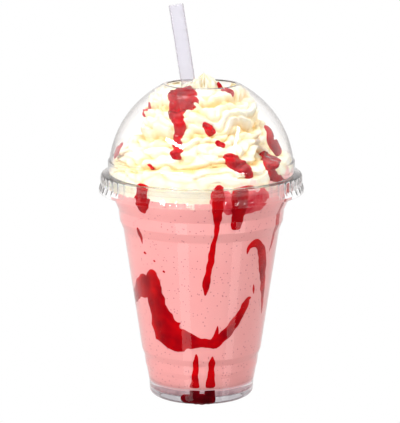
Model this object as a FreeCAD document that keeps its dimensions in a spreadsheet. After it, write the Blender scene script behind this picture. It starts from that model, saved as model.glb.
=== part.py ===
"""A milkshake to go: a clear tumbler with a domed lid, a straw, the shake and whipped cream.

Millimetres, +Z up. The origin is the middle of the foot that the tumbler stands on.
Five pieces, each a solid in a node of its own: cup, lid, straw, milkshake, whipped_cream.
"""

import FreeCAD
import Part
import Sketcher

import math
import os

# ---------------------------------------------------------------- driving dimensions
# Radii and heights are of the outer surface of the wall, unless a comment says otherwise.
SIZES = {
    # tumbler, from the foot up
    "base_radius": 26.0,  # at the foot
    "base_round": 2.4,  # round of the foot's outer edge
    "recess_radius": 20.5,  # hollow under the foot
    "recess_depth": 3.6,
    "floor_height": 6.6,  # top of the thick floor
    "waist_radius": 26.3,  # at the level of the floor
    "step_two_low_radius": 27.5,
    "step_two_low_height": 13.3,
    "step_two_top_radius": 28.2,
    "step_two_top_height": 15.9,
    "step_one_low_radius": 28.7,
    "step_one_low_height": 20.4,
    "step_one_top_radius": 29.9,
    "step_one_top_height": 23.6,
    "body_top_radius": 38.8,
    "body_top_height": 84.4,
    "band_low_radius": 40.6,
    "band_low_height": 89.0,
    "band_top_radius": 41.2,
    "band_top_height": 94.6,
    "shoulder_radius": 44.6,
    "shoulder_height": 102.2,
    "mouth_radius": 46.1,  # just under the rolled rim
    "rim_radius": 48.7,  # outside of the rolled rim
    "rim_drop": 1.6,  # straight part that hangs from the roll
    "cup_height": 111.7,
    "cup_wall": 0.6,
    "step_round": 0.9,  # round of the steps' edges
    "floor_round": 4.2,  # round between the floor and the wall, inside
    # lid, from the hole down
    "hole_radius": 17.3,
    "crown_radius": 18.7,  # flat ring round the hole
    "crown_height": 156.2,
    "dome_curve": 48.8,  # radius of the dome's arc
    "dome_radius": 45.4,  # foot of the dome
    "dome_foot_height": 119.3,
    "collar_radius": 46.2,
    "collar_height": 118.5,
    "skirt_radius": 49.5,
    "skirt_low_height": 107.0,
    "lip_radius": 50.75,
    "lip_height": 104.7,  # widest place of the lip
    "lip_bottom": 103.2,
    "lid_wall": 0.5,
    "lid_round": 0.8,  # round of the flange's edges
    "grip_count": 60,  # upright ribs round the skirt
    "grip_half_width": 1.15,
    "grip_half_height": 2.7,
    "grip_drop": 3.1,  # from the top of the flange to the middle of a rib
    # straw
    "straw_radius": 3.6,
    "straw_wall": 0.25,
    "straw_length": 190.0,
    "straw_lean": 8.8,  # degrees from upright, towards -X
    "straw_foot_offset": 16.7,  # where the straw's foot stands on the floor, along +X
    "straw_clearance": 0.05,  # between the straw and what it stands in
    # food
    "drink_level": 104.3,
    "cream_gap": 0.3,  # between the cream and the plastic round it
    "cream_peak_height": 161.6,
    "cream_peak_offset": 1.2,  # the peak stands off the middle, along +X
    "cream_pitch": 14.2,  # rise of the piped rope in one turn
    "cream_crease_height": 125.0,  # a crease between two turns, at angle 0
    "cream_crease_depth": 4.6,
    "flute_depth": 1.7,  # flutes and ruffles of the piped rope
}


class Size:
    """A length that knows the sheet expression that gives it, so that both follow the sheet."""

    def __init__(self, number, text):
        self.number = number
        self.text = text

    @staticmethod
    def of(value):
        return value if isinstance(value, Size) else Size(float(value), repr(float(value)))

    def __add__(self, other):
        other = Size.of(other)
        return Size(self.number + other.number, f"({self.text} + {other.text})")

    def __sub__(self, other):
        other = Size.of(other)
        return Size(self.number - other.number, f"({self.text} - {other.text})")

    def __mul__(self, other):
        other = Size.of(other)
        return Size(self.number * other.number, f"({self.text} * {other.text})")

    def __truediv__(self, other):
        other = Size.of(other)
        return Size(self.number / other.number, f"({self.text} / {other.text})")


def make_sheet(doc):
    """Writes the driving dimensions into a spreadsheet, one aliased cell each."""
    sheet = doc.addObject("Spreadsheet::Sheet", "sizes")
    for row, (alias, number) in enumerate(SIZES.items(), start=1):
        sheet.set(f"A{row}", alias)
        sheet.set(f"B{row}", str(number))
        sheet.setAlias(f"B{row}", alias)
    doc.recompute()
    return sheet


def cell(alias):
    """The size kept under that alias."""
    return Size(float(SIZES[alias]), f"sizes.{alias}")


def cells(*aliases):
    """Several sizes at once, such as a corner's radius and height."""
    return tuple(cell(alias) for alias in aliases)


# ---------------------------------------------------------------- sketches and features
def origin_feature(body, role):
    """One of a body's own origin planes or axes."""
    return next(f for f in body.Origin.OriginFeatures if f.Role == role)


def attach(sketch, body, role):
    sketch.AttachmentSupport = (origin_feature(body, role), [""])
    sketch.MapMode = "FlatFace"


def arc_between(start, end, radius):
    """The short arc that runs counter-clockwise from start to end; no radius: half a circle."""
    chord = end - start
    radius = radius or chord.Length / 2
    middle = (start + end) * 0.5
    side = FreeCAD.Vector(-chord.y, chord.x, 0).normalize()
    rise = math.sqrt(max(radius**2 - (chord.Length / 2) ** 2, 0.0))
    centre = middle + side * rise
    first = math.atan2(start.y - centre.y, start.x - centre.x)
    last = math.atan2(end.y - centre.y, end.x - centre.x)
    circle = Part.Circle(centre, FreeCAD.Vector(0, 0, 1), radius)
    return Part.ArcOfCircle(circle, first, last)


def profile_sketch(body, name, corners, arcs=None):
    """A closed half section on the XZ plane.

    corners are (radius, height) pairs of sizes. arcs maps a corner's number to (radius, turn)
    where the edge that leaves it is an arc: turn is +1 counter-clockwise, -1 clockwise, and
    radius is None for half a circle. Every corner is bound to the sheet by its two distances
    from the origin.
    """
    arcs = arcs or {}
    sketch = body.newObject("Sketcher::SketchObject", name)
    attach(sketch, body, "XZ_Plane")
    corners = [as_sizes(corner) for corner in corners]
    points = [FreeCAD.Vector(radius.number, height.number, 0) for radius, height in corners]
    ends = []
    for index, start in enumerate(points):
        end = points[(index + 1) % len(points)]
        curve, turn = arcs.get(index, (None, 0))
        radius = curve.number if curve else None
        if turn == 0:
            sketch.addGeometry(Part.LineSegment(start, end))
        elif turn > 0:
            sketch.addGeometry(arc_between(start, end, radius))
        else:
            sketch.addGeometry(arc_between(end, start, radius))
        ends.append((2, 1) if turn < 0 else (1, 2))
    for index in range(len(points)):
        following = (index + 1) % len(points)
        sketch.addConstraint(
            Sketcher.Constraint("Coincident", index, ends[index][1], following, ends[following][0])
        )
    for index, (radius, height) in enumerate(corners):
        place_point(sketch, f"corner_{index}", (index, ends[index][0]), radius, height)
    for index, (curve, _) in arcs.items():
        if curve is None:
            place_point(sketch, f"centre_{index}", (index, 3), None, corners[index][1])
            continue
        number = sketch.addConstraint(Sketcher.Constraint("Radius", index, curve.number))
        bind(sketch, number, f"curve_{index}", curve)
    return sketch


def as_sizes(corner):
    return tuple(Size.of(value) for value in corner)


def place_point(sketch, name, point, radius, height):
    """Binds a point to its radius and height; 0 puts it on the sketch's axis, None frees it."""
    for kind, value, axis in (("DistanceX", radius, -2), ("DistanceY", height, -1)):
        if value is None:
            continue
        if value.number == 0:
            sketch.addConstraint(Sketcher.Constraint("PointOnObject", *point, axis))
            continue
        number = sketch.addConstraint(Sketcher.Constraint(kind, -1, 1, *point, value.number))
        bind(sketch, number, f"{name}_{kind}", value)


def bind(sketch, number, name, value):
    sketch.renameConstraint(number, name)
    sketch.setExpression(f"Constraints.{name}", value.text)


def new_body(doc, name):
    body = doc.addObject("PartDesign::Body", name)
    body.Label = name
    return body


def revolve(doc, body, sketch):
    """A full turn of the half section about the sketch's upright axis."""
    turned = body.newObject("PartDesign::Revolution", sketch.Name + "_turned")
    turned.Profile = sketch
    turned.ReferenceAxis = (sketch, ["V_Axis"])
    turned.Angle = 360
    doc.recompute()
    return turned


def round_rings(doc, body, name, radius, rings):
    """Rounds the circular edges that run at those radii and heights."""
    base = body.Tip
    names = []
    for number, edge in enumerate(base.Shape.Edges, start=1):
        if not isinstance(edge.Curve, Part.Circle):
            continue
        for ring_radius, ring_height in map(as_sizes, rings):
            near_radius = abs(edge.Curve.Radius - ring_radius.number) < 1e-4
            near_height = abs(edge.Curve.Center.z - ring_height.number) < 1e-4
            if near_radius and near_height:
                names.append(f"Edge{number}")
    if len(names) < len(rings):
        raise RuntimeError(f"{name}: found {len(names)} of {len(rings)} edges to round")
    rounded = body.newObject("PartDesign::Fillet", name)
    rounded.Base = (base, names)
    rounded.Radius = radius.number
    rounded.setExpression("Radius", radius.text)
    doc.recompute()
    return rounded


def lean_like_straw(feature):
    """Puts a feature's own Z axis on the axis of the straw."""
    foot = straw_foot()
    lean = cell("straw_lean")
    feature.Placement = FreeCAD.Placement(
        FreeCAD.Vector(foot[0].number, 0, foot[1].number),
        FreeCAD.Rotation(FreeCAD.Vector(0, -1, 0), lean.number),
    )
    feature.setExpression("Placement.Base.x", foot[0].text)
    feature.setExpression("Placement.Base.z", foot[1].text)
    feature.setExpression("Placement.Rotation.Angle", lean.text)


def straw_foot():
    """Middle of the straw's lower end: its rim just touches the cup's floor."""
    lean = cell("straw_lean")
    sine = Size(math.sin(math.radians(lean.number)), f"sin({lean.text} * 1 deg)")
    height = cell("floor_height") + cell("straw_radius") * sine
    return cell("straw_foot_offset"), height


# ---------------------------------------------------------------- tumbler
def outer_corners():
    """Outside of the tumbler, from the floor's level up to the mouth."""
    return [
        cells("waist_radius", "floor_height"),
        cells("step_two_low_radius", "step_two_low_height"),
        cells("step_two_top_radius", "step_two_top_height"),
        cells("step_one_low_radius", "step_one_low_height"),
        cells("step_one_top_radius", "step_one_top_height"),
        cells("body_top_radius", "body_top_height"),
        cells("band_low_radius", "band_low_height"),
        cells("band_top_radius", "band_top_height"),
        cells("shoulder_radius", "shoulder_height"),
    ]


def inner_corners():
    """Inside of the tumbler, which is also the outside of the drink."""
    wall = cell("cup_wall")
    return [(radius - wall, height) for radius, height in outer_corners()]


def roll_radius():
    """Outer radius of the rolled rim's section."""
    return (cell("rim_radius") - cell("mouth_radius") + cell("cup_wall")) / 2


def make_cup(doc):
    body = new_body(doc, "cup")
    wall = cell("cup_wall")
    roll = roll_radius()
    roll_height = cell("cup_height") - roll
    drop_height = roll_height - cell("rim_drop")
    outside = outer_corners()
    inside = inner_corners()
    corners = [
        (0, cell("recess_depth")),
        cells("recess_radius", "recess_depth"),
        (cell("recess_radius"), 0),
        (cell("base_radius"), 0),
        *outside,
        (cell("mouth_radius"), roll_height),
        (cell("rim_radius") - wall, roll_height),
        (cell("rim_radius") - wall, drop_height),
        (cell("rim_radius"), drop_height),
        (cell("rim_radius"), roll_height),
        (cell("mouth_radius") - wall, roll_height),
        *reversed(inside),
        (0, cell("floor_height")),
    ]
    under_roll = 4 + len(outside)
    over_roll = under_roll + 4
    arcs = {under_roll: (None, -1), over_roll: (None, 1)}
    section = profile_sketch(body, "cup_section", corners, arcs)
    revolve(doc, body, section)
    round_rings(doc, body, "foot_round", cell("base_round"), [(cell("base_radius"), 0)])
    round_rings(doc, body, "cup_steps_outside", cell("step_round"), outside[1:])
    round_rings(doc, body, "cup_steps_inside", cell("step_round"), inside[1:])
    round_rings(doc, body, "floor_corner", cell("floor_round"), inside[:1])
    recess_edges = [cells("recess_radius", "recess_depth"), (cell("recess_radius"), 0)]
    round_rings(doc, body, "recess_round", cell("step_round"), recess_edges)
    return body


# ---------------------------------------------------------------- lid
def make_lid(doc):
    body = new_body(doc, "lid")
    wall = cell("lid_wall")
    flange_height = lid_flange_height()
    corners = [
        (cell("lip_radius") - wall * 1.2, cell("lip_bottom")),
        cells("lip_radius", "lip_bottom"),
        cells("lip_radius", "lip_height"),
        cells("skirt_radius", "skirt_low_height"),
        (cell("skirt_radius"), flange_height),
        (cell("collar_radius"), flange_height),
        cells("collar_radius", "collar_height"),
        cells("dome_radius", "dome_foot_height"),
        cells("crown_radius", "crown_height"),
        cells("hole_radius", "crown_height"),
        (cell("hole_radius"), cell("crown_height") - wall),
        (cell("crown_radius") - wall * 0.5, cell("crown_height") - wall),
        (cell("dome_radius") - wall, cell("dome_foot_height") - wall * 0.5),
        (cell("collar_radius") - wall, cell("collar_height") - wall * 0.5),
        (cell("collar_radius") - wall, cell("cup_height")),
        (cell("skirt_radius") - wall, cell("cup_height")),
        (cell("skirt_radius") - wall, cell("skirt_low_height") - wall * 0.5),
        (cell("lip_radius") - wall * 1.2, cell("lip_height")),
    ]
    dome_outside, dome_inside = 7, 11
    arcs = {
        dome_outside: (cell("dome_curve"), 1),
        dome_inside: (cell("dome_curve") - wall, -1),
    }
    section = profile_sketch(body, "lid_section", corners, arcs)
    revolve(doc, body, section)
    flange_edges = [(cell("skirt_radius"), flange_height), (cell("collar_radius"), flange_height)]
    round_rings(doc, body, "flange_round", cell("lid_round"), flange_edges)
    add_grips(doc, body, flange_height)
    return body


def lid_flange_height():
    """Top of the flange: the lid's wall lies on the rolled rim."""
    return cell("cup_height") + cell("lid_wall")


def add_grips(doc, body, flange_height):
    """Upright ribs round the skirt: one half-sunk ellipsoid, repeated by a polar pattern."""
    grip = body.newObject("PartDesign::AdditiveEllipsoid", "grip")
    radial = cell("lid_wall")
    middle = flange_height - cell("grip_drop")
    grip.Placement = FreeCAD.Placement(
        FreeCAD.Vector(cell("skirt_radius").number, 0, middle.number), FreeCAD.Rotation()
    )
    grip.setExpression("Placement.Base.x", cell("skirt_radius").text)
    grip.setExpression("Placement.Base.z", middle.text)
    for name, value in (
        ("Radius1", cell("grip_half_height")),
        ("Radius2", radial),
        ("Radius3", cell("grip_half_width")),
    ):
        grip.setExpression(name, value.text)
    doc.recompute()
    ring = body.newObject("PartDesign::PolarPattern", "grips")
    ring.Originals = [grip]
    ring.Axis = (origin_feature(body, "Z_Axis"), [""])
    ring.Angle = 360
    ring.setExpression("Occurrences", cell("grip_count").text)
    body.Tip = ring
    doc.recompute()


# ---------------------------------------------------------------- straw and drink
def make_straw(doc):
    body = new_body(doc, "straw")
    ring = body.newObject("Sketcher::SketchObject", "straw_section")
    attach(ring, body, "XY_Plane")
    radii = (cell("straw_radius"), cell("straw_radius") - cell("straw_wall"))
    for number, (name, radius) in enumerate(zip(("outside", "bore"), radii)):
        up = FreeCAD.Vector(0, 0, 1)
        ring.addGeometry(Part.Circle(FreeCAD.Vector(), up, radius.number))
        ring.addConstraint(Sketcher.Constraint("Coincident", number, 3, -1, 1))
        bound = ring.addConstraint(Sketcher.Constraint("Radius", number, radius.number))
        bind(ring, bound, name, radius)
    tube = body.newObject("PartDesign::Pad", "straw_tube")
    tube.Profile = ring
    tube.setExpression("Length", cell("straw_length").text)
    lean_like_straw(body)
    doc.recompute()
    return body


def make_milkshake(doc):
    """The drink: it fills the tumbler up to its level and is bored for the straw."""
    body = new_body(doc, "milkshake")
    inside = inner_corners()
    corners = [
        (0, cell("floor_height")),
        *inside,
        (drink_top_radius(), cell("drink_level")),
        (0, cell("drink_level")),
    ]
    section = profile_sketch(body, "milkshake_section", corners)
    revolve(doc, body, section)
    round_rings(doc, body, "milkshake_steps", cell("step_round"), inside[1:])
    round_rings(doc, body, "milkshake_corner", cell("floor_round"), inside[:1])
    bore = body.newObject("PartDesign::SubtractiveCylinder", "straw_bore")
    bore.setExpression("Radius", (cell("straw_radius") + cell("straw_clearance")).text)
    bore.setExpression("Height", cell("straw_length").text)
    lean_like_straw(bore)
    doc.recompute()
    return body


def drink_top_radius():
    """The cup's inner radius at the drink's level, on the band above the shoulder."""
    low_radius, low_height = cells("shoulder_radius", "shoulder_height")
    share = (cell("drink_level") - low_height) / (roll_start() - low_height)
    return low_radius - cell("cup_wall") + (cell("mouth_radius") - low_radius) * share


def roll_start():
    return cell("cup_height") - roll_radius()


# ---------------------------------------------------------------- whipped cream
CREAM_COLUMNS = 72  # facets round the cream
CREAM_WALL_ROWS = 5  # rows up the plastic wall, from the drink to the lid's collar
CREAM_DOME_ROWS = 60  # rows from the collar to the peak
CREAM_CENTRE_HEIGHT = 112.0  # the dome of cream is measured from this height
# share of the way up the dome of cream (0 level, 1 the peak) and how far out the mound reaches,
# as a share of the radius at the collar
MOUND = (
    (0.00, 1.000),
    (0.09, 0.985),
    (0.16, 0.920),
    (0.22, 0.855),
    (0.31, 0.805),
    (0.40, 0.825),
    (0.49, 0.865),
    (0.56, 0.930),
    (0.62, 0.985),
    (0.66, 1.050),
    (0.70, 1.200),
    (0.735, 1.200),
    (0.765, 0.975),
    (0.84, 0.950),
    (0.90, 0.985),
)
CREAM_FREE_SHARE = 0.76  # above this the cream stands in the lid's hole, under no plastic


def blend_table(table, place):
    """Smooth steps between the rows of a short table of (place, value)."""
    for (low, low_value), (high, high_value) in zip(table, table[1:]):
        if place <= high:
            share = (place - low) / (high - low)
            return low_value + (high_value - low_value) * share**2 * (3 - 2 * share)
    return table[-1][1]


def plastic_radius(height):
    """Inner radius of the plastic round the cream: the cup's mouth, the collar or the dome."""
    wall = SIZES["lid_wall"]
    if height < SIZES["cup_height"]:
        low, high = SIZES["shoulder_height"], roll_start().number
        share = min((height - low) / (high - low), 1.0)
        spread = SIZES["mouth_radius"] - SIZES["shoulder_radius"]
        return SIZES["shoulder_radius"] + spread * share - SIZES["cup_wall"]
    if height < SIZES["collar_height"] - wall:
        return SIZES["collar_radius"] - wall
    if height < SIZES["dome_foot_height"]:
        return SIZES["dome_radius"] - wall
    if height > SIZES["crown_height"] - 2 * wall:
        return SIZES["hole_radius"]
    centre, curve = dome_centre()
    return centre.x + math.sqrt((curve - wall) ** 2 - (height - centre.y) ** 2)


def dome_centre():
    """Centre and radius of the dome's arc in the half section."""
    start = FreeCAD.Vector(SIZES["dome_radius"], SIZES["dome_foot_height"], 0)
    end = FreeCAD.Vector(SIZES["crown_radius"], SIZES["crown_height"], 0)
    arc = arc_between(start, end, SIZES["dome_curve"])
    return arc.Center, arc.Radius


def dome_reach(climb):
    """How far the cream may reach along a ray before it would press on the dome or its crown."""
    clearance = SIZES["lid_wall"] + SIZES["cream_gap"]
    centre, curve = dome_centre()
    lift = centre.y - CREAM_CENTRE_HEIGHT
    along = centre.x * math.cos(climb) + lift * math.sin(climb)
    to_dome = along + math.sqrt(along**2 - centre.x**2 - lift**2 + (curve - clearance) ** 2)
    to_crown = SIZES["crown_height"] - clearance - CREAM_CENTRE_HEIGHT
    return min(to_dome, to_crown / max(math.sin(climb), 0.1))


def rope_relief(height, angle):
    """How far the piped rope lies under the mound: creases between turns, flutes and ruffles."""
    turn = (height - SIZES["cream_crease_height"]) / SIZES["cream_pitch"]
    turn -= angle / (2 * math.pi)
    bulge = abs(math.sin(math.pi * turn)) ** 0.6
    crease = SIZES["cream_crease_depth"] * (1 - bulge)
    waviness = 0.35 * math.sin(9 * angle + 1.7 * turn)
    flutes = 1 - abs(math.sin(math.pi * (3 * turn + waviness))) ** 0.8
    ruffles = 0.5 * math.sin(13 * angle + 3.0 * math.sin(2 * math.pi * turn)) * bulge
    ruffles *= min(1.0, max(0.0, (SIZES["crown_height"] - 4.0 - height) / 10.0))
    sway = 0.8 * math.sin(3 * angle + 0.31 * height) + 0.5 * math.sin(5 * angle - 0.47 * height)
    return crease + SIZES["flute_depth"] * (flutes + ruffles - 0.4) + sway


def cream_point(share, angle):
    """A point of the cream above the collar: share 0 is level with it, 1 is the peak."""
    collar = SIZES["collar_radius"]
    climb = math.radians(90 * share)
    reach = collar * blend_table(MOUND, share)
    if share > MOUND[-1][0]:
        last_share, last_value = MOUND[-1]
        peak = SIZES["cream_peak_height"] - CREAM_CENTRE_HEIGHT
        rise = (share - last_share) / (1 - last_share)
        reach = collar * last_value + (peak - collar * last_value) * rise**1.2
    strength = min(1.0, share / 0.12) * min(1.0, (1 - share) / 0.18)
    reach -= rope_relief(CREAM_CENTRE_HEIGHT + reach * math.sin(climb), angle) * strength
    if share < CREAM_FREE_SHARE:
        reach = min(reach, dome_reach(climb))
    height = CREAM_CENTRE_HEIGHT + reach * math.sin(climb)
    radius = min(reach * math.cos(climb), plastic_radius(height) - SIZES["cream_gap"])
    drift = SIZES["cream_peak_offset"] * max(0.0, (share - 0.76) / 0.24) ** 1.5
    return FreeCAD.Vector(
        radius * math.cos(angle) + drift, radius * math.sin(angle), height
    )


def cream_rings():
    """Rings of points from the drink's level to just under the peak."""
    rings = []
    angles = [2 * math.pi * column / CREAM_COLUMNS for column in range(CREAM_COLUMNS)]
    for row in range(CREAM_WALL_ROWS):
        share = row / CREAM_WALL_ROWS
        low = SIZES["drink_level"]
        height = low + (CREAM_CENTRE_HEIGHT - low) * share
        radius = plastic_radius(height) - SIZES["cream_gap"]
        ring = [
            FreeCAD.Vector(radius * math.cos(angle), radius * math.sin(angle), height)
            for angle in angles
        ]
        rings.append(ring)
    for row in range(CREAM_DOME_ROWS):
        share = row / CREAM_DOME_ROWS
        rings.append([cream_point(share, angle) for angle in angles])
    return rings


def make_cream(doc):
    """The piped swirl as one faceted solid, then bored for the straw."""
    rings = cream_rings()
    points = [point for ring in rings for point in ring]
    bottom = len(points)
    points.append(FreeCAD.Vector(0, 0, SIZES["drink_level"]))
    peak = len(points)
    points.append(FreeCAD.Vector(SIZES["cream_peak_offset"], 0, SIZES["cream_peak_height"]))
    facets = []
    for row in range(len(rings) - 1):
        for column in range(CREAM_COLUMNS):
            here = row * CREAM_COLUMNS
            above = here + CREAM_COLUMNS
            beside = (column + 1) % CREAM_COLUMNS
            facets.append((here + column, here + beside, above + beside))
            facets.append((here + column, above + beside, above + column))
    last = (len(rings) - 1) * CREAM_COLUMNS
    for column in range(CREAM_COLUMNS):
        beside = (column + 1) % CREAM_COLUMNS
        facets.append((beside, column, bottom))
        facets.append((last + column, last + beside, peak))
    skin = Part.Shape()
    skin.makeShapeFromMesh((points, facets), 0.001)
    swirl = doc.addObject("Part::Feature", "cream_swirl")
    swirl.Shape = Part.Solid(Part.Shell(skin.Faces))
    bore = doc.addObject("Part::Cylinder", "cream_bore")
    bore.setExpression("Radius", (cell("straw_radius") + cell("straw_clearance")).text)
    bore.setExpression("Height", cell("straw_length").text)
    lean_like_straw(bore)
    cream = doc.addObject("Part::Cut", "whipped_cream")
    cream.Label = "whipped_cream"
    cream.Base = swirl
    cream.Tool = bore
    doc.recompute()
    return cream


# ---------------------------------------------------------------- build and write
def check(doc, pieces):
    """Stops if any feature failed or a piece isn't one closed solid."""
    for thing in doc.Objects:
        if "Invalid" in thing.State or "Error" in thing.State:
            raise RuntimeError(f"{thing.Name} failed: {thing.State}")
    for piece in pieces:
        shape = piece.Shape
        if shape.isNull() or not shape.isValid() or len(shape.Solids) != 1:
            raise RuntimeError(f"{piece.Label} isn't one valid solid")
        print(f"{piece.Label}: {shape.Volume / 1000:.2f} ml, {len(shape.Faces)} faces")


def main():
    doc = FreeCAD.newDocument("milkshake_to_go")
    make_sheet(doc)
    pieces = [make_cup(doc), make_lid(doc), make_straw(doc), make_milkshake(doc), make_cream(doc)]
    doc.recompute()
    check(doc, pieces)
    os.makedirs("parts", exist_ok=True)
    for piece in pieces:
        piece.Shape.exportStep(os.path.join("parts", piece.Label + ".step"))


main()
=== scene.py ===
# %% [markdown]
# # A milkshake to go
# The object is a clear tumbler of strawberry milkshake with piped whipped cream and red syrup
# under a clear domed lid, with a straw through the lid's hole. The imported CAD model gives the
# true sizes. This script dresses it: it makes the clear plastic smooth, pipes the cream finely,
# pours the syrup and lights it. Everything is in metres, and the tumbler stands at the origin
# with its front towards -Y.

import math

import bmesh
import bpy
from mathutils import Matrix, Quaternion, Vector, noise


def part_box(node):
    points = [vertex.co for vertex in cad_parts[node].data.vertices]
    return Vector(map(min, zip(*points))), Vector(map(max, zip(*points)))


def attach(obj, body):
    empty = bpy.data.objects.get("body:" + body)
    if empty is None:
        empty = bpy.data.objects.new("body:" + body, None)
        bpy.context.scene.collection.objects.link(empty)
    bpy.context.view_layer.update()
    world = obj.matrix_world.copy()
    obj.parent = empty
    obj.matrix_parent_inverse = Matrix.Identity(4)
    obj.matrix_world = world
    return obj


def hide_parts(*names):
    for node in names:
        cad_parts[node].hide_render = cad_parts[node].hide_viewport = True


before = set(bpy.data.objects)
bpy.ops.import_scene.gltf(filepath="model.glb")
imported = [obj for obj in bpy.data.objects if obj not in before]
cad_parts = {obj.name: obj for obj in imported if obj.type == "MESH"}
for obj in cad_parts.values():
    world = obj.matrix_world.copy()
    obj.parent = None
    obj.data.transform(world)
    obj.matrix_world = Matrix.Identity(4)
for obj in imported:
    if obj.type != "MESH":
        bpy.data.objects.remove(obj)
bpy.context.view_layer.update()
MM = 0.001
print("frame nodes:", sorted(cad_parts))

# %% [markdown]
# ## Sizes
# The frame says how big each piece is. What the boxes can't say, such as the heights of the steps
# in the tumbler's wall, is written once here as named values, in millimetres, and turned into
# metres where a shape is made. They are the same sizes that the CAD model was drawn with.

# %% Named sizes
foot_low, foot_high = (Vector(corner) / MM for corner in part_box("cup"))
lid_low, lid_high = (Vector(corner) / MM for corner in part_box("lid"))
drink_low, drink_high = (Vector(corner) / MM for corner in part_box("milkshake"))
cream_low, cream_high = (Vector(corner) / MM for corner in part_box("whipped_cream"))

CUP_WALL = 0.6
CUP_HEIGHT = foot_high.z
LID_WALL = 0.5
LID_TOP = lid_high.z
LIP_RADIUS = lid_high.x
FLOOR_HEIGHT = drink_low.z
FLOOR_ROUND = 4.2  # inside corner between wall and floor
DRINK_LEVEL = drink_high.z
CREAM_PEAK = cream_high.z
MOUTH_RADIUS = 46.1
RIM_RADIUS = foot_high.x
BASE_RADIUS, BASE_ROUND = 26.0, 2.4
RECESS_RADIUS, RECESS_DEPTH = 20.5, 3.6  # the hollow under the foot
STEP_ROUND = 0.9  # round of every step in the wall
ROLL_HANG = 1.6  # how far the rolled rim hangs below its own middle
TURNED_STEPS = 192  # faces round the tumbler and the drink
# outside of the tumbler's wall: radius and height of each step, from the floor up
WALL_STEPS = [
    (26.3, FLOOR_HEIGHT), (27.5, 13.3), (28.2, 15.9), (28.7, 20.4), (29.9, 23.6),
    (38.8, 84.4), (40.6, 89.0), (41.2, 94.6), (44.6, 102.2),
]
ROLL = (RIM_RADIUS - MOUTH_RADIUS + CUP_WALL) / 2  # radius of the rolled rim's section
ROLL_HEIGHT = CUP_HEIGHT - ROLL
print("tumbler", round(CUP_HEIGHT, 1), "mm tall, lid", round(2 * LIP_RADIUS, 1), "mm across")

# %% [markdown]
# ## Making round things
# A tumbler and a lid are bodies of revolution. The half section is drawn as a chain of points on
# the XZ plane, its sharp corners are rounded by bevelling them, and `bmesh.ops.spin` turns it
# once round. That is how the real moulds are cut, and it gives even rings of faces that catch the
# light cleanly.

# %% Helpers for turned pieces
def mesh_object(name, bm, smooth_angle=40.0):
    """Makes an object of a bmesh: closed, faces outwards, smooth apart from sharp edges."""
    bmesh.ops.remove_doubles(bm, verts=bm.verts, dist=0.002 * MM)
    bmesh.ops.recalc_face_normals(bm, faces=bm.faces)
    name = name.replace(" ", "_")
    mesh = bpy.data.meshes.new(name)
    bm.to_mesh(mesh)
    bm.free()
    piece = bpy.data.objects.new(name, mesh)
    bpy.context.scene.collection.objects.link(piece)
    mesh.shade_smooth()
    mesh.set_sharp_from_angle(angle=math.radians(smooth_angle))
    return piece


def arc_points(centre, radius, first, last, count):
    """Points along an arc of the half section, angles in degrees from +X."""
    angles = [math.radians(first + (last - first) * i / count) for i in range(count + 1)]
    return [(centre[0] + radius * math.cos(a), centre[1] + radius * math.sin(a)) for a in angles]


def turned(points, steps, rounding=None, closed=True):
    """Turns a half section, given in millimetres, once round the upright axis.

    rounding maps the number of a point to the radius that it is rounded to.
    """
    bm = bmesh.new()
    verts = [bm.verts.new((radius * MM, 0, height * MM)) for radius, height in points]
    edges = [bm.edges.new(pair) for pair in zip(verts, verts[1:])]
    if closed:
        edges.append(bm.edges.new((verts[-1], verts[0])))
    for number, radius in sorted((rounding or {}).items()):
        corner = verts[number]
        arms = [(e.other_vert(corner).co - corner.co).normalized() for e in corner.link_edges]
        reach = radius * MM / max(math.tan(arms[0].angle(arms[1]) / 2), 1e-3)
        bmesh.ops.bevel(
            bm, geom=[corner], offset=reach, segments=4, profile=0.5,
            affect="VERTICES", material=-1,
        )
    bmesh.ops.spin(
        bm, geom=bm.verts[:] + bm.edges[:], cent=(0, 0, 0), axis=(0, 0, 1), dvec=(0, 0, 0),
        angle=math.tau, steps=steps, use_merge=True,
    )
    return bm


# %% [markdown]
# ## The tumbler
# The tumbler is blown in one piece from clear plastic: a thick foot with a hollow under it, a
# thin stepped wall and a rolled rim. It could be the CAD node itself with a clear material, but a
# spun mesh has smoother shading, and clear plastic shows every facet. The section is the CAD's
# own.

# %% Tumbler
def cup_section():
    """The tumbler's half section from the foot's middle round to the floor's, and its rounds."""
    inside = [(radius - CUP_WALL, height) for radius, height in WALL_STEPS]
    roll_centre = ((RIM_RADIUS + MOUTH_RADIUS - CUP_WALL) / 2, ROLL_HEIGHT)
    points = [
        (0, RECESS_DEPTH), (RECESS_RADIUS, RECESS_DEPTH), (RECESS_RADIUS, 0), (BASE_RADIUS, 0),
    ]
    points += WALL_STEPS
    points += arc_points(roll_centre, ROLL - CUP_WALL, 180, 0, 8)
    hang = ROLL_HEIGHT - ROLL_HANG
    points += [(RIM_RADIUS - CUP_WALL, hang), (RIM_RADIUS, hang)]
    points += arc_points(roll_centre, ROLL, 0, 180, 12)
    points += reversed(inside)
    points.append((0, FLOOR_HEIGHT))
    rounding = {1: STEP_ROUND, 2: STEP_ROUND, 3: BASE_ROUND}
    rounding.update({number: STEP_ROUND for number in range(5, 4 + len(WALL_STEPS))})
    last = len(points) - 2
    rounding.update({last - number: STEP_ROUND for number in range(len(WALL_STEPS))})
    rounding[last] = FLOOR_ROUND
    return points, rounding


# %% Spin the tumbler
section, rounding = cup_section()
cup = mesh_object("tumbler", turned(section, TURNED_STEPS, rounding, closed=False))
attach(cup, "root")
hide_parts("cup")
print("tumbler:", len(cup.data.polygons), "faces")

# %% [markdown]
# ## The lid
# The lid is thermoformed from a thin clear sheet: a hole with a flat ring round it, a dome, a
# collar, a flat flange that lies on the tumbler's rim, and a skirt with upright ribs that grip
# it. The ribs come from the mould, so both sides of the sheet follow them: after the spin, each
# ring of the skirt is pushed out and in by one function of the angle.

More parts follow.
